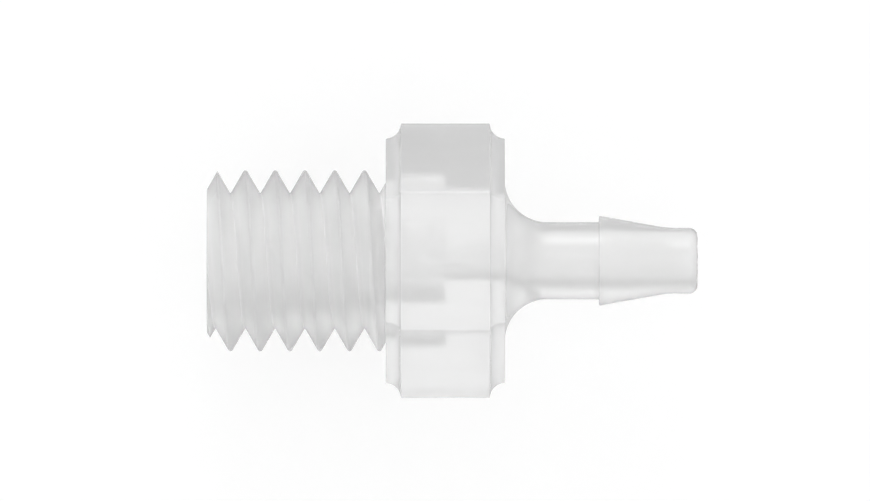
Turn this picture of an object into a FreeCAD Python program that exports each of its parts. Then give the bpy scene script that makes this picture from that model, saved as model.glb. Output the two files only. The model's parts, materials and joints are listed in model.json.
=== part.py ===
import FreeCAD, Part

import math
import os

# Threaded hose barb fitting, moulded as one piece in natural plastic.
# From one end to the other: a fine male thread with a lead chamfer, a hexagon for the spanner
# with a cove round both of its ends, a neck that flares out of the hexagon, and a single hose
# barb with a rounded tip. A wide bore runs in from the thread and steps down to the narrow bore
# that leaves through the barb.
#
# It is modelled standing on its thread end, along Z, and laid down at the end: +X then runs from
# the thread to the barb, +Z out of the flat that faces up, and the origin is where the axis
# meets the face of the hexagon that seats on the port.
# All sizes are in millimetres.

Vector = FreeCAD.Vector
ORIGIN = Vector(0, 0, 0)
AXIS = Vector(0, 0, 1)

# Thread: a right-hand 60 degree vee, 32 turns to the inch
thread_pitch = 0.79375
thread_major_diameter = 4.826
thread_length = 4.7625
thread_angle = 60.0
thread_crest_flat = 0.066
thread_root_flat = 0.020
# where the root passes the corner of the hexagon on the +Y side, before the seat face
thread_root_to_seat = 0.173
thread_end_diameter = 3.84
thread_lead_angle = 60.0

# Hexagon, for a 1/4 inch spanner
hex_across_flats = 6.35
hex_length = 3.175
hex_cove_radius = 0.397

# Neck, barb and tip, for tubing of 1/16 inch bore
neck_diameter = 2.06
neck_flare_radius = 1.12
neck_length = 2.51
barb_diameter = 2.40
barb_cone_length = 1.82
barb_foot_radius = 2.8
tip_diameter = 1.755
tip_length = 0.81
tip_edge_radius = 0.23

# Bores
wide_bore_diameter = 2.286
wide_bore_depth = 6.35
narrow_bore_diameter = 1.05

# Heights that follow from them, from the seat face
thread_end = -thread_length
barb_shoulder = hex_length + neck_length
barb_foot = barb_shoulder + barb_cone_length
tip_end = barb_foot + tip_length
bore_step = thread_end + wide_bore_depth

HEX_SIDES = 6
SECTOR = 360.0 / HEX_SIDES
# how far a cut reaches past the plastic, and how closely two sizes match
PAST = 0.25
MATCH = 0.0001


def turned(*outline):
    """The solid that a closed outline of (radius, height) corners makes as it turns round the axis."""
    corners = [Vector(radius, 0, height) for radius, height in outline]
    wire = Part.makePolygon(corners + corners[:1])
    return Part.Face(wire).revolve(ORIGIN, AXIS, 360)


def bored(diameter, bottom, top):
    return Part.makeCylinder(diameter / 2, top - bottom, Vector(0, 0, bottom))


def groove_turn():
    """One turn of the groove between the threads, with its mouth outside the crests."""
    slope = math.tan(math.radians(thread_angle / 2))
    depth = (thread_pitch - thread_crest_flat - thread_root_flat) / (2 * slope)
    root = thread_major_diameter / 2 - depth
    mouth = thread_major_diameter / 2 + PAST
    half_root = thread_root_flat / 2
    half_mouth = half_root + (mouth - root) * slope
    corners = [
        Vector(root, 0, -half_root),
        Vector(mouth, 0, -half_mouth),
        Vector(mouth, 0, half_mouth),
        Vector(root, 0, half_root),
    ]
    section = Part.makePolygon(corners + corners[:1])
    helix = Part.makeHelix(thread_pitch, thread_pitch, root)
    return Part.Wire(helix.Edges).makePipeShell([section], True, True)


def threaded_stub():
    """The male thread with its lead chamfer. Its last turn is buried in the hexagon."""
    major = thread_major_diameter / 2
    face = thread_end_diameter / 2
    lead = (major - face) / math.tan(math.radians(thread_lead_angle))
    buried = thread_pitch
    stub = turned(
        (0, thread_end),
        (face, thread_end),
        (major, thread_end + lead),
        (major, buried),
        (0, buried),
    )
    turn = groove_turn()
    # The turns start a quarter of the way round, clear of the seam of the stub.
    turn.rotate(ORIGIN, AXIS, 90)
    turn.translate(Vector(0, 0, thread_pitch / 4 - thread_root_to_seat))
    turns_down = math.ceil(thread_length / thread_pitch) + 1
    for k in range(-turns_down, 2):
        groove = turn.copy()
        groove.translate(Vector(0, 0, k * thread_pitch))
        stub = stub.cut(groove)
    return stub


def cove(height):
    """What the cove takes off one side of the hexagon. It is round in the plane of a corner."""
    to_flat = hex_across_flats / 2
    inward = hex_cove_radius * math.cos(math.radians(SECTOR / 2))
    start = Vector(to_flat, -hex_across_flats / 2, height)
    rim = Part.Ellipse(start + Vector(0, 0, hex_cove_radius), start + Vector(inward, 0, 0), start)
    face = Part.Face(Part.Wire(rim.toShape()))
    return face.extrude(Vector(0, hex_across_flats, 0))


def hexagon():
    to_corner = hex_across_flats / 2 / math.cos(math.radians(SECTOR / 2))
    angles = [math.radians(SECTOR * k) for k in range(HEX_SIDES)]
    corners = [Vector(to_corner * math.cos(a), to_corner * math.sin(a), 0) for a in angles]
    wire = Part.makePolygon(corners + corners[:1])
    prism = Part.Face(wire).extrude(Vector(0, 0, hex_length))
    coves = []
    for height in (0, hex_length):
        for k in range(HEX_SIDES):
            side = cove(height)
            side.rotate(ORIGIN, AXIS, SECTOR * (k + 0.5))
            coves.append(side)
    return prism.cut(coves)


def hose_stem():
    """Neck, barb and tip, started inside the hexagon."""
    inside = hex_length / 2
    return turned(
        (0, inside),
        (neck_diameter / 2, inside),
        (neck_diameter / 2, barb_shoulder),
        (barb_diameter / 2, barb_shoulder),
        (tip_diameter / 2, barb_foot),
        (tip_diameter / 2, tip_end),
        (0, tip_end),
    )


def round_edge(shape, diameter, height):
    """The circle of that diameter at that height."""
    for edge in shape.Edges:
        if isinstance(edge.Curve, Part.Circle):
            same_size = abs(edge.Curve.Radius * 2 - diameter) < MATCH
            if same_size and abs(edge.Curve.Center.z - height) < MATCH:
                return edge
    raise ValueError("no such round edge")


def rounded(shape, radius, diameter, height):
    return shape.makeFillet(radius, [round_edge(shape, diameter, height)])


def fitting():
    body = hexagon().fuse(hose_stem())
    body = rounded(body, neck_flare_radius, neck_diameter, hex_length)
    body = rounded(body, barb_foot_radius, tip_diameter, barb_foot)
    body = rounded(body, tip_edge_radius, tip_diameter, tip_end)
    body = body.fuse(threaded_stub())
    wide = bored(wide_bore_diameter, thread_end - PAST, bore_step)
    narrow = bored(narrow_bore_diameter, thread_end - PAST, tip_end + PAST)
    body = body.cut([wide, narrow])
    # Laid down: the axis turns to +X, and the corner that was at +X turns to +Y.
    body.rotate(ORIGIN, Vector(1, 1, 1), 120)
    return body


if __name__ == "__main__":
    os.makedirs("parts", exist_ok=True)
    solid = fitting()
    solid.exportStep("parts/barb_fitting.step")
    print("solids", len(solid.Solids), "valid", solid.isValid(), "volume", round(solid.Volume, 2), "mm3")
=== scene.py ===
# %% [markdown]
# A threaded hose barb fitting, moulded in one shot from natural plastic. It is 13 mm long, lies on a flat
# of its hexagon, and is seen from straight above through a long lens. Light passes through it, so a part
# of what the eye sees is the inside: the two bores show as soft bands through the wall. That decides how
# everything here is made. The shape has to be one closed skin, bores included, because a ray that enters
# the plastic must also leave it at the right place.

import json
import math

import bmesh
import bpy
import numpy as np
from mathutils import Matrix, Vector


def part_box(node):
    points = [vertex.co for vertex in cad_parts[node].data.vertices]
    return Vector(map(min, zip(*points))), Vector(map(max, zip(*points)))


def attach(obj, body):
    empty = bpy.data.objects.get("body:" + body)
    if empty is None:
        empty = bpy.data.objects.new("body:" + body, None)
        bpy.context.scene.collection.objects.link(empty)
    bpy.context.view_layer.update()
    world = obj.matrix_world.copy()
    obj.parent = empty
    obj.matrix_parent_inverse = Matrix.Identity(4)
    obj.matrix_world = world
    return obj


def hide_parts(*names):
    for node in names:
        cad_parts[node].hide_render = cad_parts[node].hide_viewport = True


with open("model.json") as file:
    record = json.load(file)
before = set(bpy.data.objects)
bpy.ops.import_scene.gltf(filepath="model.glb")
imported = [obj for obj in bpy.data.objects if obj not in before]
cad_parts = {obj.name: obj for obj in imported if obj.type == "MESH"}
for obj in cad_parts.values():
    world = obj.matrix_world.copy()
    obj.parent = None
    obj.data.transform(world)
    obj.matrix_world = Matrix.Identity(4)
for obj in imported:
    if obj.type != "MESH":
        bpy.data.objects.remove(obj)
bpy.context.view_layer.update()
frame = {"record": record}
low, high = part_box("barb_fitting")
mounts = {mount["name"]: mount for mount in frame["record"]["mounts"]}
MM = 0.001
print("the fitting is", [round((b - a) / MM, 2) for a, b in zip(low, high)], "mm")

# %% [markdown]
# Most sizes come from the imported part: its box gives both ends and the flats, and its mounts give the
# thread, the bores and the barb. What no mount states, such as the flare of the neck, is written here in
# millimetres. X runs along the axis and is zero at the face of the hexagon that seats on the port.

# %% Sizes
thread_end = low.x
tip_end = high.x
to_flat = high.z
thread_reach = mounts["male_thread"]["dims"]["r_mm"] * MM
wide_bore = mounts["wide_bore"]["dims"]["r_mm"] * MM
bore_step = thread_end + mounts["wide_bore"]["dims"]["length_mm"] * MM
narrow_bore = mounts["narrow_bore"]["dims"]["r_mm"] * MM
barb_reach = mounts["hose_barb"]["dims"]["r_mm"] * MM
barb_shoulder = mounts["hose_barb"]["pos_m"][0]

pitch = 0.79375 * MM
crest_round = 0.057 * MM
root_round = 0.030 * MM
root_to_seat = 0.173 * MM
thread_end_reach = 1.92 * MM
lead_slope = math.tan(math.radians(60))
flank_slope = 1 / math.tan(math.radians(30))

hex_length = 3.175 * MM
cove = 0.397 * MM

neck_reach = 1.03 * MM
flare = 1.12 * MM
barb_cone = 1.82 * MM
barb_foot = barb_shoulder + barb_cone
barb_foot_radius = 2.8 * MM
tip_reach = 0.8775 * MM
tip_edge = 0.23 * MM
print("thread", round(-thread_end / MM, 3), "mm long, barb side", round((tip_end - hex_length) / MM, 3))

# %% [markdown]
# Every cross-section of the fitting is a ring round the axis: a circle on the neck, the barb and the bores,
# a hexagon on the nut. So the skin is made of rings, all with the same number of columns, joined ring to
# ring with quads. A hexagon needs its points close together at its corners, where the plastic turns over a
# radius of a few hundredths of a millimetre, and can do with few on its flats. A sine added to evenly
# spaced angles draws the columns to the corners, and still leaves a circle smooth.

# %% Angles of the columns
COLUMNS = 216
SIDES = 6
CORNER_PULL = 0.82
turn = np.linspace(0, 2 * np.pi, COLUMNS, endpoint=False)
angle = turn - CORNER_PULL / SIDES * np.sin(SIDES * turn)
print("columns", COLUMNS, "closest", round(math.degrees(angle[1] - angle[0]), 2), "degrees apart")

# %% [markdown]
# The mould's edges are crisp but not razor sharp, and it is the thin bright line along a rounded edge that
# tells the eye so. One helper draws a bent line with every corner rounded to its own radius. It blends the
# two ends of an arc by sines, which keeps every point on the circle. A ring of the hexagon has its six
# corners rounded too, by cutting each ray with a flat or with the small circle that rounds the corner.

# %% Rounded lines and rings
ARC_STEPS = 4
HALF_SIDE = math.pi / SIDES
hex_edge = 0.05 * MM


def rounded(corners, steps=ARC_STEPS):
    """Points of a bent line through corners of (along, out, radius), each corner rounded to its radius."""
    points = [np.array(corners[0][:2])]
    for before, corner, after in zip(corners, corners[1:], corners[2:]):
        here = np.array(corner[:2])
        back = np.array(before[:2]) - here
        ahead = np.array(after[:2]) - here
        back /= np.linalg.norm(back)
        ahead /= np.linalg.norm(ahead)
        half = math.acos(np.clip(back @ ahead, -1, 1)) / 2
        start = here + back * corner[2] / math.tan(half)
        end = here + ahead * corner[2] / math.tan(half)
        centre = here + (back + ahead) / np.linalg.norm(back + ahead) * corner[2] / math.sin(half)
        sweep = math.pi - 2 * half
        for step in range(steps + 1):
            t = step / steps
            a = math.sin((1 - t) * sweep) / math.sin(sweep)
            b = math.sin(t * sweep) / math.sin(sweep)
            points.append(centre + a * (start - centre) + b * (end - centre))
    points.append(np.array(corners[-1][:2]))
    return points


def round_ring(x, reach):
    """A circle. A ring is the places of its points along the axis, and their reaches from it."""
    return np.full(COLUMNS, x), np.full(COLUMNS, reach)


def hex_ring(x, apothem, edge=hex_edge):
    """A hexagon with rounded corners. apothem is the distance from the axis to its flats."""
    from_corner = (angle + HALF_SIDE) % (2 * HALF_SIDE) - HALF_SIDE
    centre = (apothem - edge) / math.cos(HALF_SIDE)
    on_corner = centre * np.cos(from_corner)
    on_corner += np.sqrt(np.maximum(edge**2 - (centre * np.sin(from_corner)) ** 2, 0))
    on_flat = apothem / np.cos(HALF_SIDE - np.abs(from_corner))
    flat_from = math.atan2(edge * math.sin(HALF_SIDE), centre + edge * math.cos(HALF_SIDE))
    reach = np.where(np.abs(from_corner) < flat_from, on_corner, on_flat)
    return np.full(COLUMNS, x), reach


print("hexagon corners reach", round(hex_ring(0, to_flat)[1].max() / MM, 3), "mm")

# %% [markdown]
# The hexagon carries a cove round each end, a quarter circle taken out of its rim. It is a true circle when
# you look at a corner from the side, so seen square to a flat it is squeezed to cos 30 degrees. On the
# seat side it runs outward from the end face, and on the barb side the same rings are used in reverse.
# Both edges of the cove are rounded, with a short straight run on each side of the round.

# %% Rings of the hexagon
COVE_STEPS = 12
rim_edge = 0.03 * MM
rim_run = 3 * rim_edge
squeeze = math.cos(HALF_SIDE)
rim_flat = to_flat - cove * squeeze


def cove_line(face, inward):
    """The rim from the end face at x = face to the flat. It is cut along x by inward, which is 1 or -1."""
    line = rounded([(face, rim_flat - rim_run, 0), (face, rim_flat, rim_edge),
                    (face + inward * rim_run, rim_flat, 0)])[:-1]
    for step in range(2, COVE_STEPS):
        t = step / COVE_STEPS * math.pi / 2
        line.append(np.array((face + inward * cove * math.sin(t), to_flat - cove * squeeze * math.cos(t))))
    top = face + inward * cove
    line += rounded([(top, to_flat - rim_run, 0), (top, to_flat, rim_edge),
                     (top + inward * rim_run, to_flat, 0)])[1:]
    return line


hexagon = [hex_ring(x, apothem) for x, apothem in cove_line(0, 1)]
hexagon += [hex_ring(x, apothem) for x, apothem in reversed(cove_line(hex_length, -1))]
print("hexagon rings", len(hexagon))

# %% [markdown]
# The barb side is plain turning: the neck flares out of the end face, stops at the square shoulder of the
# barb, and the barb runs down its cone to the rounded tip. The line then turns round the tip's end and
# comes back along the narrow bore, over the step and out of the wide bore, so that inside and outside are
# one skin with no seam. Each round is drawn with a short run on both sides of it, and the long runs between
# them need no points of their own.

# %% Rings of the barb
FLARE_STEPS = 20
FOOT_STEPS = 6
TIP_STEPS = 8
mould_edge = 0.03 * MM
cone_slope = (barb_reach - tip_reach) / barb_cone

flare_out = 1.15 * flare
flare_along = 1.1 * flare
by_shoulder = 6 * mould_edge
by_foot = 0.3 * MM
by_tip = 1.3 * tip_edge
by_bore = 4 * mould_edge

stem = rounded([(hex_length, neck_reach + flare_out, 0),
                (hex_length, neck_reach, flare),
                (hex_length + flare_along, neck_reach, 0)], FLARE_STEPS)
stem += rounded([(barb_shoulder - by_shoulder, neck_reach, 0),
                 (barb_shoulder, neck_reach, mould_edge),
                 (barb_shoulder, barb_reach, mould_edge),
                 (barb_shoulder + by_shoulder, barb_reach - by_shoulder * cone_slope, 0)])
stem += rounded([(barb_foot - by_foot, tip_reach + by_foot * cone_slope, 0),
                 (barb_foot, tip_reach, barb_foot_radius),
                 (barb_foot + by_foot, tip_reach, 0)], FOOT_STEPS)
stem += rounded([(tip_end - by_tip, tip_reach, 0),
                 (tip_end, tip_reach, tip_edge),
                 (tip_end, narrow_bore, mould_edge),
                 (tip_end - by_bore, narrow_bore, 0)], TIP_STEPS)
print("rings of the barb side", len(stem))

# %% Rings of the bores
bores = rounded([(bore_step + by_bore, narrow_bore, 0),
                 (bore_step, narrow_bore, mould_edge),
                 (bore_step, wide_bore, mould_edge),
                 (bore_step - by_bore, wide_bore, 0)])
bores += rounded([(thread_end + by_bore, wide_bore, 0),
                  (thread_end, wide_bore, mould_edge),
                  (thread_end, wide_bore + by_bore, 0)])
turned = [round_ring(x, reach) for x, reach in stem + bores]
print("turned rings", len(turned))

# %% [markdown]
# The thread is the hard part. Its profile is a plain 60 degree vee with a small round on every crest and
# root, because melted plastic doesn't fill a sharp corner. Crests and roots climb as they go round, so no
# ring lies flat. The rows follow the helix instead: the profile of one pitch is laid out along the axis
# again and again, and every column starts a little further on than the one before. After a full turn a
# row has moved by exactly one pitch, so the last column is sewn to the first one a pitch further along.
# Rows that would run past either end of the thread are held at the end, where they fall together.

# %% Rows of the thread
ROUND_STEPS = 6
FLANK_STEPS = 6
HAIR = 1e-9
sharp_crest = thread_reach + crest_round
sharp_root = sharp_crest - pitch / 2 * flank_slope
vee = rounded([(-pitch / 2, sharp_crest, 0), (0, sharp_root, root_round),
               (pitch / 2, sharp_crest, crest_round), (pitch, sharp_root, 0)], ROUND_STEPS)
half_vee = [point for point in vee if -HAIR <= point[0] <= pitch / 2 + HAIR]
half_along = np.array([point[0] for point in half_vee])
half_out = np.array([point[1] for point in half_vee])
flank_from = ROUND_STEPS // 2
flank = np.linspace(half_along[flank_from], half_along[flank_from + 1], FLANK_STEPS)[1:-1]
knots = np.unique(np.concatenate([half_along, flank]))
profile = np.concatenate([-knots[:0:-1], knots[:-1]])
ROWS_A_PITCH = len(profile)


def thread_at(x, around):
    """How far the thread reaches from the axis at x, on the column at that angle."""
    past_root = x + root_to_seat - pitch * around / (2 * np.pi)
    from_root = np.abs((past_root / pitch + 0.5) % 1 - 0.5) * pitch
    return np.interp(from_root, half_along, half_out)


first_turn = math.floor((thread_end + root_to_seat) / pitch - 0.5) - 1
last_turn = math.ceil(root_to_seat / pitch + 0.5)
starts = -root_to_seat + pitch * np.arange(first_turn, last_turn + 1)
row_x = (starts[:, None] + profile[None, :]).ravel()
thread_x = np.clip(row_x[:, None] + pitch * angle[None, :] / (2 * np.pi), thread_end, 0)
thread_r = thread_at(thread_x, angle[None, :])
print("thread rows", len(row_x), "of", ROWS_A_PITCH, "a pitch, root at", round(half_out[0] / MM, 3))

# %% [markdown]
# All rows and rings now become one mesh. Each neighbouring pair is joined by a strip of quads, and the last
# ring of the bore is joined to the first row of the thread, which closes the skin. Vertices that fell
# together at the ends of the thread are merged. A closed skin has no open edge and a volume that can be
# checked: light bends right only where both are true.

# %% Sew the skin
def place(x, reach):
    """Points in the part's frame for rows of places along the axis and reaches from it."""
    return np.stack([x, reach * np.cos(angle), reach * np.sin(angle)], axis=-1).reshape(-1, 3)


def sew(first, second, shift=0):
    """Quads between two rows of vertices, each given by the number of its first vertex."""
    around = np.arange(COLUMNS)
    nxt = (around + 1) % COLUMNS
    step = np.where(around == COLUMNS - 1, shift, 0)
    return np.stack([first + around, first + nxt + step, second + nxt + step, second + around], axis=-1)


rings = hexagon + turned
ring_points = place(np.array([ring[0] for ring in rings]), np.array([ring[1] for ring in rings]))
points = np.concatenate([place(thread_x, thread_r), ring_points])
thread_rows = len(row_x)
last_row = thread_rows + len(rings) - 1
seam = ROWS_A_PITCH * COLUMNS
strips = []
for row in range(thread_rows - 1):
    strip = sew(row * COLUMNS, (row + 1) * COLUMNS, seam)
    if row + 1 + ROWS_A_PITCH >= thread_rows:
        strip = strip[:-1]
    strips.append(strip)
for row in range(thread_rows - 1, last_row):
    strips.append(sew(row * COLUMNS, (row + 1) * COLUMNS))
strips.append(sew(last_row * COLUMNS, 0))
quads = np.concatenate(strips)
print("points", len(points), "quads", len(quads))

# %% Make a closed mesh
MERGE = 1e-8


def report(name, skin):
    """Print what tells a closed skin from a torn one."""
    open_edges = sum(1 for edge in skin.edges if not edge.is_manifold)
    volume = skin.calc_volume(signed=True) / MM**3
    print(name, "faces", len(skin.faces), "open edges", open_edges, "volume", round(volume, 2), "mm3")


def mesh_of(name, points, faces):
    """A mesh of points and faces, with points that fall together merged and faces of no area removed."""
    mesh = bpy.data.meshes.new(name)
    mesh.from_pydata(points.tolist(), [], faces.tolist())
    skin = bmesh.new()
    skin.from_mesh(mesh)
    bmesh.ops.remove_doubles(skin, verts=skin.verts, dist=MERGE)
    bmesh.ops.dissolve_degenerate(skin, edges=skin.edges, dist=MERGE)
    report(name, skin)
    skin.to_mesh(mesh)
    skin.free()
    return mesh


fitting = bpy.data.objects.new("moulded_fitting", mesh_of("moulded_fitting", points, quads))
bpy.context.scene.collection.objects.link(fitting)

# %% [markdown]
# The end of the thread is chamfered, so that it finds its hole. The chamfer is a cone that cuts through
# crests and flanks alike, and where it crosses the helix its edge wanders. Rows and columns can't follow
# that edge, but a boolean can: a ring with one slanted side is taken away from the end of the thread.

# %% Cut the lead of the thread
CUT_DEPTH = 0.42 * MM
CUT_PAST = 0.3 * MM


def lead_reach(x):
    """How far the plastic may reach from the axis at x, inside the cone of the lead."""
    return thread_end_reach + (x - thread_end) * lead_slope


cut_to = thread_end + CUT_DEPTH
cut_from = thread_end - CUT_PAST
cutter_x = np.array([np.full(COLUMNS, x) for x in (cut_from, cut_to, cut_from)])
cutter_r = np.array([np.full(COLUMNS, lead_reach(x)) for x in (cut_from, cut_to, cut_to)])
cutter_strips = [sew(0, COLUMNS), sew(COLUMNS, 2 * COLUMNS), sew(2 * COLUMNS, 0)]
cutter_quads = np.concatenate(cutter_strips)[:, ::-1]
cutter_mesh = mesh_of("lead_cutter", place(cutter_x, cutter_r), cutter_quads)
cutter = bpy.data.objects.new("lead_cutter", cutter_mesh)
bpy.context.scene.collection.objects.link(cutter)

lead = fitting.modifiers.new("lead", "BOOLEAN")
lead.operation = "DIFFERENCE"
lead.solver = "EXACT"
lead.object = cutter
bpy.context.view_layer.update()
chamfered = fitting.evaluated_get(bpy.context.evaluated_depsgraph_get())
fitting.data = bpy.data.meshes.new_from_object(chamfered)
fitting.modifiers.clear()
bpy.data.objects.remove(cutter)
bpy.data.meshes.remove(cutter_mesh)

skin = bmesh.new()
skin.from_mesh(fitting.data)
report("chamfered fitting", skin)
skin.free()

# %% [markdown]
# Shading is smooth, so that the turned surfaces look turned, but an edge that bends by more than 27 degrees
# stays sharp. The lead cone of the thread meets the end face at 30 degrees, so that edge stays crisp.
# Weighted normals then keep the flats of the hexagon truly flat right up to their rounded edges, and
# a flat face is what makes a calm, even reflection. The piece rides on the only body and stands for the
# imported solid, which is hidden.

# %% Smooth the shading and put the piece on its body
SHARP_FROM = math.radians(27)
fitting.data.polygons.foreach_set("use_smooth", [True] * len(fitting.data.polygons))
fitting.data.set_sharp_from_angle(angle=SHARP_FROM)
even = fitting.modifiers.new("flat faces stay flat", "WEIGHTED_NORMAL")
even.keep_sharp = True

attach(fitting, "root")
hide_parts("barb_fitting")
print("sharp edges", sum(1 for edge in fitting.data.edges if edge.use_edge_sharp))

# %% [markdown]
# Natural polypropylene is neither clear nor white. Crystals too small to see scatter a part of the light,
# which makes it milky, and the rest passes through and shows the bores. One Principled shader does both:
# its transmission weight is the share of the light that passes each time a ray crosses the skin, and the
# rest is scattered there. A ray that goes right through the fitting crosses the skin two or four times,
# so even a high share leaves it milky.
#
# What varies over the skin comes from nodes that work in millimetres. A few helpers make such nodes. They
# work on whichever node tree the names nodes and links stand for, so floor and light tent use them too.

# %% Nodes in millimetres
IOR_POLYPROPYLENE = 1.49
plastic = bpy.data.materials.new("moulded_polypropylene")
plastic.use_nodes = True
nodes = plastic.node_tree.nodes
links = plastic.node_tree.links
shader = nodes["Principled BSDF"]
shader.inputs["IOR"].default_value = IOR_POLYPROPYLENE

here = nodes.new("ShaderNodeTexCoord")
in_mm = nodes.new("ShaderNodeVectorMath")
in_mm.operation = "SCALE"
in_mm.inputs["Scale"].default_value = 1 / MM
links.new(here.outputs["Object"], in_mm.inputs[0])
along = nodes.new("ShaderNodeSeparateXYZ")
links.new(in_mm.outputs["Vector"], along.inputs["Vector"])


def noise(scale, detail, stretch=(1, 1, 1), distortion=0.0):
    """Noise with about scale features a millimetre, longer along an axis where stretch is smaller."""
    shape = nodes.new("ShaderNodeVectorMath")
    shape.operation = "MULTIPLY"
    shape.inputs[1].default_value = stretch
    links.new(in_mm.outputs["Vector"], shape.inputs[0])
    texture = nodes.new("ShaderNodeTexNoise")
    texture.inputs["Scale"].default_value = scale
    texture.inputs["Detail"].default_value = detail
    texture.inputs["Distortion"].default_value = distortion
    links.new(shape.outputs["Vector"], texture.inputs["Vector"])
    return texture.outputs["Fac"]


def remap(value, from_low, from_high, to_low, to_high):
    """The value moved from one range to the other, and held at the ends of the range."""
    node = nodes.new("ShaderNodeMapRange")
    node.inputs["From Min"].default_value = from_low
    node.inputs["From Max"].default_value = from_high
    node.inputs["To Min"].default_value = to_low
    node.inputs["To Max"].default_value = to_high
    links.new(value, node.inputs["Value"])
    return node.outputs["Result"]


def combine(operation, first, second=0):
    """The result of one step of arithmetic on numbers or outputs of nodes."""
    node = nodes.new("ShaderNodeMath")
    node.operation = operation
    for socket, value in zip(node.inputs, (first, second)):
        if isinstance(value, (int, float)):
            socket.default_value = value
        else:
            links.new(value, socket)
    return node.outputs["Value"]


def choose(choice, no, yes):
    """The value yes where choice is 1, and the value no where it is 0."""
    picked = combine("MULTIPLY", choice, yes)
    left = combine("MULTIPLY", combine("SUBTRACT", 1, choice), no)
    return combine("ADD", picked, left)


print("index of refraction", IOR_POLYPROPYLENE)

# %% [markdown]
# The melt leaves faint clouds that are drawn out along the axis. They change the colour by two or three
# hundredths only, because natural plastic carries no pigment. The stem is the thinnest part and holds back
# the least light, so its colour is painted a little lighter, as painted light. Nearly all values of a noise
# lie between 0.3 and 0.7, so that range is what gets spread out.

# %% Clouds in the plastic, and painted light on the stem
NOISE_LOW, NOISE_HIGH = 0.3, 0.7
CLOUDS_A_MM = 0.8
CLOUD_STRETCH = (0.45, 1, 1)
CLOUD_SWIRL = 0.6
CLOUD_DARK, CLOUD_LIGHT = 0.955, 0.98
STEM_PAINTED_LIGHT = 0.018
PASSING = 0.05

cloud_noise = noise(CLOUDS_A_MM, detail=3, stretch=CLOUD_STRETCH, distortion=CLOUD_SWIRL)
clouds = remap(cloud_noise, NOISE_LOW, NOISE_HIGH, CLOUD_DARK, CLOUD_LIGHT)
stem_from = hex_length / MM
on_stem = remap(along.outputs["X"], stem_from - PASSING, stem_from + PASSING, 0, 1)
# painted light: the stem's colour is made lighter, in place of the light that passes its thin wall
painted_stem_light = combine("MULTIPLY", on_stem, STEM_PAINTED_LIGHT)
clouds_and_painted_light = combine("ADD", clouds, painted_stem_light)
print("colour from", CLOUD_DARK, "to", round(CLOUD_LIGHT + STEM_PAINTED_LIGHT, 3))

# %% [markdown]
# How milky plastic looks depends on how much of it the light has to cross. A shader on the skin can't know
# that, but the place on the part tells it. The walls of the hexagon and the stem show their bore clearly.
# The body of the thread hides it more, because a ray meets a thread on its way in and another on its way
# out. The crests are thin wedges that let more of the light pass, so there the share grows again with the
# distance from the axis. The last turn leans on the thick wall of the hexagon, which fills it with
# scattered light, so there the share falls.

# %% Clear where it is thin
THICK_CLEAR, CREST_CLEAR, BODY_CLEAR = 0.50, 0.60, 0.62
THICK_TO, CREST_FROM = 2.0, 2.4
SEAT_DULLER = 0.28
DULLER_FROM, DULLER_TO = -0.45, -0.15

on_thread = remap(along.outputs["X"], -PASSING, 0, 1, 0)
across = combine("MULTIPLY", along.outputs["Y"], along.outputs["Y"])
upward = combine("MULTIPLY", along.outputs["Z"], along.outputs["Z"])
from_axis = combine("SQRT", combine("ADD", across, upward))
tooth_clear = remap(from_axis, THICK_TO, CREST_FROM, THICK_CLEAR, CREST_CLEAR)
duller = remap(along.outputs["X"], DULLER_FROM, DULLER_TO, 0, SEAT_DULLER)
thread_clear = combine("SUBTRACT", tooth_clear, duller)
links.new(choose(on_thread, BODY_CLEAR, thread_clear), shader.inputs["Transmission Weight"])
print("share that passes: thread", THICK_CLEAR, "crest", CREST_CLEAR, "elsewhere", BODY_CLEAR)
print("beside the hexagon", round(THICK_CLEAR - SEAT_DULLER, 2))

# %% [markdown]
# The crests get a trace of painted shade. It is grey put into the colour where light would make them shine
# out as thin white lines, and it darkens the tips of the thread along its outline. It fades in over the
# last twentieth of a millimetre, where the crests are round.

# %% Painted shade on the crests
CREST_PAINTED_SHADE = 0.08
PAINTED_SHADE_FROM, PAINTED_SHADE_TO = 2.36, 2.405
# painted shade: the colour is darkened on the crests and the tips of the thread, in place of the shade that
# light gives there
painted_crest_shade = combine("MULTIPLY", on_thread, remap(from_axis, PAINTED_SHADE_FROM, PAINTED_SHADE_TO, 0, CREST_PAINTED_SHADE))
links.new(combine("SUBTRACT", clouds_and_painted_light, painted_crest_shade), shader.inputs["Base Color"])
print("crests darker by", CREST_PAINTED_SHADE)

# %% [markdown]
# The mould had three kinds of surface. The cavities of the hexagon and the stem were polished. That of the
# thread was eroded by sparks and left the skin a little rougher. The pin that kept the narrow bore open was
# drawn out along it and left the roughest skin. Roughness does more here than dull a reflection: it blurs
# the view through the skin, and so it decides how soft the bands of the bores look. It also wanders a
# little from place to place, as on any moulding.
#
# The relief adds the grain, the turned rings and the slow waves where thick walls sank as they cooled. Its
# height is less than a hundredth of a millimetre in all, so it shows only in how reflections waver.

# %% Gloss of the three surfaces
POLISHED, ERODED, DRAWN = 0.19, 0.22, 0.34
PIN_TO, PIN_FADED = 0.1, 0.3
PATCHES_A_MM = 3.0
PATCH_SWIRL = 0.3
SMOOTHER, ROUGHER = -0.02, 0.03

outside = choose(on_thread, POLISHED, ERODED)
bore_reach = narrow_bore / MM
in_bore = remap(from_axis, bore_reach + PIN_TO, bore_reach + PIN_FADED, 1, 0)
gloss = choose(in_bore, outside, DRAWN)
patch_noise = noise(PATCHES_A_MM, detail=4, distortion=PATCH_SWIRL)
patchy = remap(patch_noise, NOISE_LOW, NOISE_HIGH, SMOOTHER, ROUGHER)
links.new(combine("ADD", gloss, patchy), shader.inputs["Roughness"])
print("roughness", POLISHED, "to", DRAWN, "and", SMOOTHER, "to", ROUGHER, "in patches")

# %% Relief of the skin
GRAINS_A_MM = 26.0
POLISHED_GRAIN = 0.35
LATHE_LINES_A_MM = 9.0
LATHE_STRETCH = (1, 0.02, 0.02)
SINKS_A_MM = 0.9
SINK_DEPTH = 6.0
RELIEF = 0.0008 * MM

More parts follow.
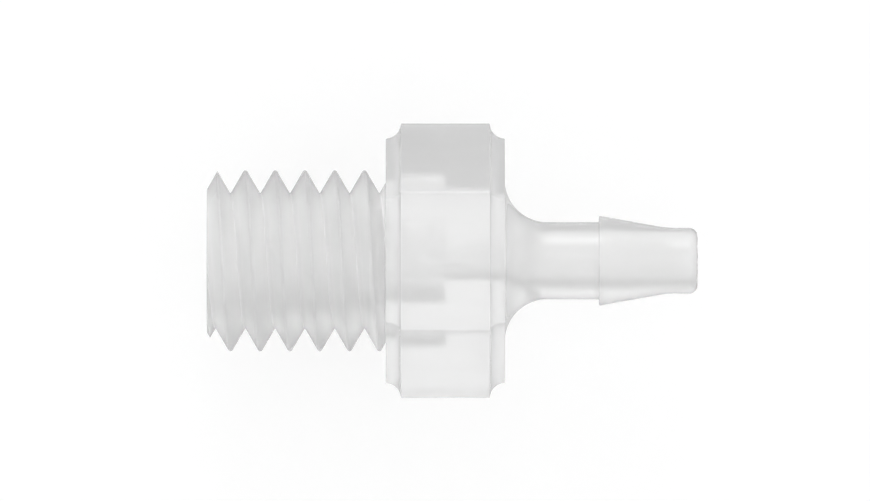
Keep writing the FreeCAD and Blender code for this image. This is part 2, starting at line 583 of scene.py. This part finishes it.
grain = combine("MULTIPLY", noise(GRAINS_A_MM, detail=3), remap(on_thread, 0, 1, POLISHED_GRAIN, 1))
lathe = combine("MULTIPLY", noise(LATHE_LINES_A_MM, detail=2, stretch=LATHE_STRETCH), on_stem)
sink = combine("MULTIPLY", noise(SINKS_A_MM, detail=1), SINK_DEPTH)
relief = combine("ADD", combine("ADD", grain, lathe), sink)
bump = nodes.new("ShaderNodeBump")
bump.inputs["Strength"].default_value = 1.0
bump.inputs["Distance"].default_value = RELIEF
links.new(relief, bump.inputs["Height"])
links.new(bump.outputs["Normal"], shader.inputs["Normal"])
fitting.data.materials.clear()
fitting.data.materials.append(plastic)
print("nodes in the plastic", len(nodes))

# %% [markdown]
# The floor is a plain white sheet. Its diffuse part keeps the fitting's soft shadow, and a glow that adds
# no light to the fitting's skin lifts it to the white of the photograph. It lies a hundredth of a
# millimetre below the fitting, because two faces in exactly the same plane confuse the renderer. Seen
# through the plastic it would be the floor's own contact shadow that filled the fitting with grey, so
# rays that pass through the plastic skip the floor and see the light tent below instead. A ray that does
# see the floor meets a darker sheet with the glow in it, and the two add up to the photograph's white.

# %% Floor
FLOOR_HALF = 0.6
FLOOR_GAP = 0.01 * MM

floor_z = low.z - FLOOR_GAP
floor_corners = [(x * FLOOR_HALF, y * FLOOR_HALF, floor_z) for x, y in ((-1, -1), (1, -1), (1, 1), (-1, 1))]
floor_mesh = bpy.data.meshes.new("floor")
floor_mesh.from_pydata(floor_corners, [], [(0, 1, 2, 3)])
floor = bpy.data.objects.new("floor", floor_mesh)
bpy.context.scene.collection.objects.link(floor)
floor.visible_transmission = False
floor.visible_glossy = False
print("floor", round(2 * FLOOR_HALF, 1), "m wide at", round(floor_z / MM, 3), "mm")

# %% White of the floor
FLOOR_COLOUR = 0.9
FLOOR_SEEN = 0.4
GLOW = 0.632

sheet = bpy.data.materials.new("white_sheet")
sheet.use_nodes = True
nodes = sheet.node_tree.nodes
links = sheet.node_tree.links
nodes.clear()
ray = nodes.new("ShaderNodeLightPath")
matt = nodes.new("ShaderNodeBsdfDiffuse")
glow = nodes.new("ShaderNodeEmission")
both = nodes.new("ShaderNodeAddShader")
surface = nodes.new("ShaderNodeOutputMaterial")
straight = combine("MAXIMUM", ray.outputs["Is Camera Ray"], ray.outputs["Is Glossy Ray"])
seen = combine("MAXIMUM", straight, ray.outputs["Is Transmission Ray"])
links.new(remap(seen, 0, 1, FLOOR_COLOUR, FLOOR_SEEN), matt.inputs["Color"])
links.new(remap(seen, 0, 1, 0, GLOW), glow.inputs["Strength"])
links.new(matt.outputs["BSDF"], both.inputs[0])
links.new(glow.outputs["Emission"], both.inputs[1])
links.new(both.outputs["Shader"], surface.inputs["Surface"])
floor.data.materials.append(sheet)
print("floor colour", FLOOR_COLOUR, "and where it is seen", FLOOR_SEEN, "with a glow of", GLOW)

# %% [markdown]
# The fitting stands in a light tent. Its skin is lit plainly and almost evenly. What passes through the
# plastic shows the wall of the tent behind it, and that wall is dimmer towards the bottom of the picture.
# So the upper slope of the hexagon, which bends the view down to the dim side, turns grey, and the lower
# slope stays light. The rims of the bores mirror the same two sides: their upper bands vanish into the
# bright one, and their lower bands are dark. The ends of the tent are a little dimmer than its middle,
# which lets the flanks of the thread stand out, and the end on the thread's side is the dimmer one.
#
# The wall is a list of pairs: a direction, from -1 at the bottom of the picture to 1 at its top, and the
# level there, where 1 is white. A colour ramp holds no more than 1, so it gets shares of a top level.
#
# What the skin mirrors is brighter above than below, as in any room. A round edge mirrors what lies below
# it, so this draws the fine grey line along the flare of the neck and round the tips of the thread.
#
# A ray that has passed through a rough skin also counts as a mirrored one, so the choice for rays that
# passed through is made last.

# %% Wall of the light tent
WALL = [(-1.0, 0.44), (-0.65, 0.20), (-0.45, 0.74), (-0.3, 0.94),
        (0.0, 0.945), (0.6, 1.08), (0.85, 1.10), (1.0, 1.25)]
WALL_TOP = 1.6
ENDS_DIMMED = 0.5
ENDS_LEAN = 0.10
ANYWHERE = 0.5

tent = bpy.data.worlds.new("light_tent")
bpy.context.scene.world = tent
tent.use_nodes = True
nodes = tent.node_tree.nodes
links = tent.node_tree.links
nodes.clear()
towards = nodes.new("ShaderNodeTexCoord")
split = nodes.new("ShaderNodeSeparateXYZ")
links.new(towards.outputs["Generated"], split.inputs["Vector"])
wall = nodes.new("ShaderNodeValToRGB")
stops = wall.color_ramp.elements
while len(stops) < len(WALL):
    stops.new(ANYWHERE)
for stop, (direction, level) in zip(stops, WALL):
    share = level / WALL_TOP
    stop.position = (direction + 1) / 2
    stop.color = (share, share, share, 1)
links.new(remap(split.outputs["Y"], -1, 1, 0, 1), wall.inputs["Fac"])
to_ends = combine("MULTIPLY", split.outputs["X"], split.outputs["X"])
leaning = combine("ADD", combine("MULTIPLY", split.outputs["X"], ENDS_LEAN), 1.0)
dimmed = combine("SUBTRACT", leaning, combine("MULTIPLY", to_ends, ENDS_DIMMED))
through = combine("MULTIPLY", combine("MULTIPLY", wall.outputs["Color"], WALL_TOP), dimmed)
for stop in stops:
    stop_level = round(stop.color[0] * WALL_TOP, 3)
    print("wall towards", round(2 * stop.position - 1, 2), "level", stop_level)

# %% What each kind of ray sees
SKIN_LIGHT = 0.93
WHITE = 1
MIRRORED, MIRRORED_RISE = 0.86, 0.30

ray = nodes.new("ShaderNodeLightPath")
mirrored = combine("ADD", combine("MULTIPLY", split.outputs["Z"], MIRRORED_RISE), MIRRORED)
outer = remap(ray.outputs["Is Camera Ray"], 0, 1, SKIN_LIGHT, WHITE)
reflected = choose(ray.outputs["Is Glossy Ray"], outer, mirrored)
light = choose(ray.outputs["Is Transmission Ray"], reflected, through)
air = nodes.new("ShaderNodeBackground")
air.inputs["Color"].default_value = (WHITE, WHITE, WHITE, 1)
surroundings = nodes.new("ShaderNodeOutputWorld")
links.new(light, air.inputs["Strength"])
links.new(air.outputs["Background"], surroundings.inputs["Surface"])
print("light on the skin", SKIN_LIGHT, "mirrored", MIRRORED, "plus", MIRRORED_RISE, "times the height")

# %% [markdown]
# One small round lamp stands low behind the fitting. The round neck and the tip mirror it as a soft
# highlight a little above their middle, and on the barb's cone, which tilts, it is fainter. It also gives
# the slopes of the hexagon a direction to the light, and the floor a faint shadow. It isn't seen through
# the plastic, where it would glare in a low view from the front.
#
# A white card that faces the lamp gets the power divided by the squares of pi and of the distance, and a
# level card gets the sine of the lamp's height of that. So the power is worked out from the share of plain
# white that the lamp is to add, and lamp and tent together make a plain level.

# %% Lamp
LAMP_SHARE = 0.046
LAMP_SIZE = 0.13
LAMP_DISTANCE = 0.30
LAMP_HEIGHT = math.radians(27)

lamp = bpy.data.lights.new("soft_lamp", "AREA")
lamp.shape = "DISK"
lamp.size = LAMP_SIZE
lamp.energy = LAMP_SHARE * math.pi**2 * LAMP_DISTANCE**2 / math.sin(LAMP_HEIGHT)
lamp_object = bpy.data.objects.new("soft_lamp", lamp)
lamp_object.visible_camera = False
lamp_object.visible_transmission = False
from_middle = Vector((0, math.cos(LAMP_HEIGHT), math.sin(LAMP_HEIGHT)))
lamp_object.location = Vector(((low.x + high.x) / 2, 0, 0)) + from_middle * LAMP_DISTANCE
lamp_object.rotation_mode = "QUATERNION"
lamp_object.rotation_quaternion = from_middle.to_track_quat("Z", "Y")
bpy.context.scene.collection.objects.link(lamp_object)
print("lamp", round(lamp.energy, 3), "W")

# %% [markdown]
# The photograph looks straight down, and shows no perspective: the round end of the thread is a straight
# line. So the camera stands more than half a metre off with a very long lens. Its height follows from
# the lens and from the picture's scale, and it is moved a little sideways instead of being shifted, until
# the seat face and the axis fall on the same pixels as in the photograph.

# %% Camera
WIDTH, HEIGHT = 870, 501
PX_PER_MM = 37.5
SEAT_PX, AXIS_PX = 385.8, 260.75
SENSOR = 36
LENS = 900
CLIP_NEAR, CLIP_FAR = 0.001, 10

distance = LENS / SENSOR * WIDTH / PX_PER_MM * MM
past_seat = (WIDTH / 2 - SEAT_PX) / PX_PER_MM * MM
above_axis = (AXIS_PX - HEIGHT / 2) / PX_PER_MM * MM
camera = bpy.data.objects.new("camera", bpy.data.cameras.new("camera"))
camera.location = (past_seat, above_axis, distance)
camera.data.sensor_width = SENSOR
camera.data.lens = LENS
camera.data.clip_start = CLIP_NEAR
camera.data.clip_end = CLIP_FAR
bpy.context.scene.collection.objects.link(camera)
bpy.context.scene.camera = camera
print("camera", round(distance, 3), "m above the axis")

# %% [markdown]
# Light that crosses the fitting meets many surfaces on its way: thread, bore, bore and thread again. Each
# one costs a bounce, so the limits are raised until an evenly lit fitting neither gains nor loses light.
# The blur that hides fireflies is switched off, because it would swallow a part of the passing light. The
# Standard view transform shows each level as it is, so that white stays white.

# %% Paths of the light
BOUNCES = 32
DIFFUSE_BOUNCES = 16

settings = bpy.context.scene.cycles
settings.max_bounces = BOUNCES
settings.transmission_bounces = BOUNCES
settings.glossy_bounces = BOUNCES
settings.diffuse_bounces = DIFFUSE_BOUNCES
settings.blur_glossy = 0
bpy.context.scene.view_settings.view_transform = "Standard"
print("bounces", settings.max_bounces)
